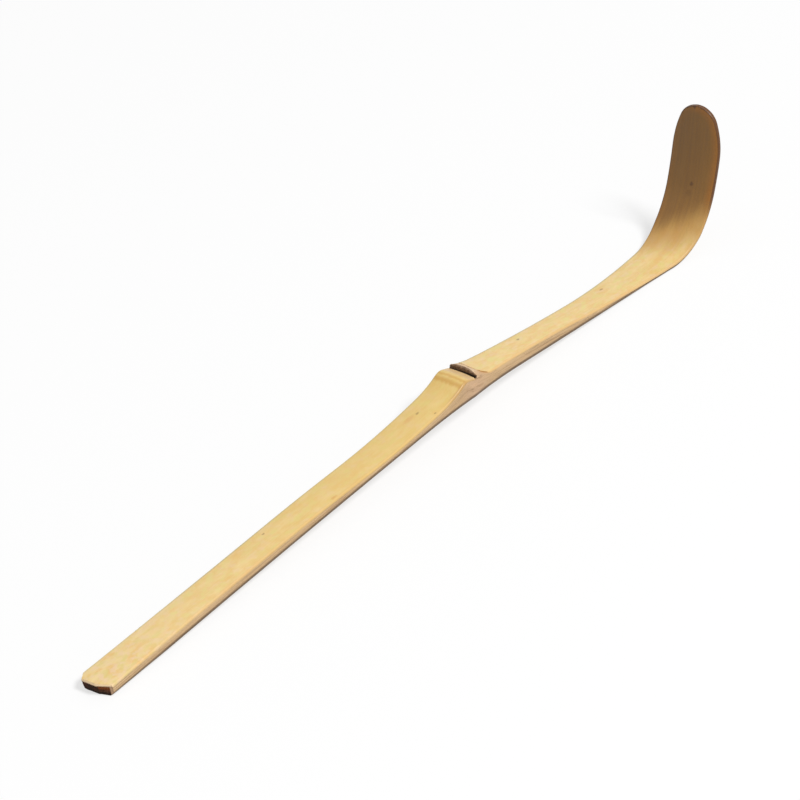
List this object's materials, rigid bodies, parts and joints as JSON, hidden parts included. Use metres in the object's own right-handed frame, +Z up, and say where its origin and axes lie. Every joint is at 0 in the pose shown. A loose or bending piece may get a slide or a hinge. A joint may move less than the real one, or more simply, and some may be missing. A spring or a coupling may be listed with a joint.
{
  "type": "tea scoop",
  "caption": "Slender bamboo tea scoop with a node near its middle, bent up at one end into a rounded tip that lifts powdered tea from a caddy into a bowl.",
  "frame": {"origin": "on the table, under the middle of the scoop's bounding box as it lies on its butt and bend", "axes": "+X from the butt towards the tip, +Z up on the skin side, +Y across the strip"},
  "size_m": [0.1828, 0.0106, 0.0284],
  "materials": {
    "skin": "satin bamboo skin, golden, with faint lengthwise grain and brown flecks",
    "ridge_skin": "satin bamboo skin with an orange band under the crest of the node",
    "wood": "knife-cut bamboo wood, pinkish tan with fine dark fibres",
    "cork": "near-black cork, rough",
    "lip_cork": "grey-brown cork, matt",
    "pith": "planed pith, matt, darker rings",
    "browned_skin": "bamboo skin browned by the heat of bending, satin",
    "browned_wood": "bamboo wood browned by the heat of bending, fine fibres"
  },
  "bodies": {
    "root": {"handle_skin": "skin", "handle_wood": "wood", "node_ridge": "ridge_skin", "node_wood": "wood", "sheath_scar": "cork", "scar_lip": "lip_cork", "diaphragm_scar": "pith", "stem_skin": "skin", "stem_wood": "wood", "tip_skin": "browned_skin", "tip_wood": "browned_wood"}
  },
  "joints": []
}
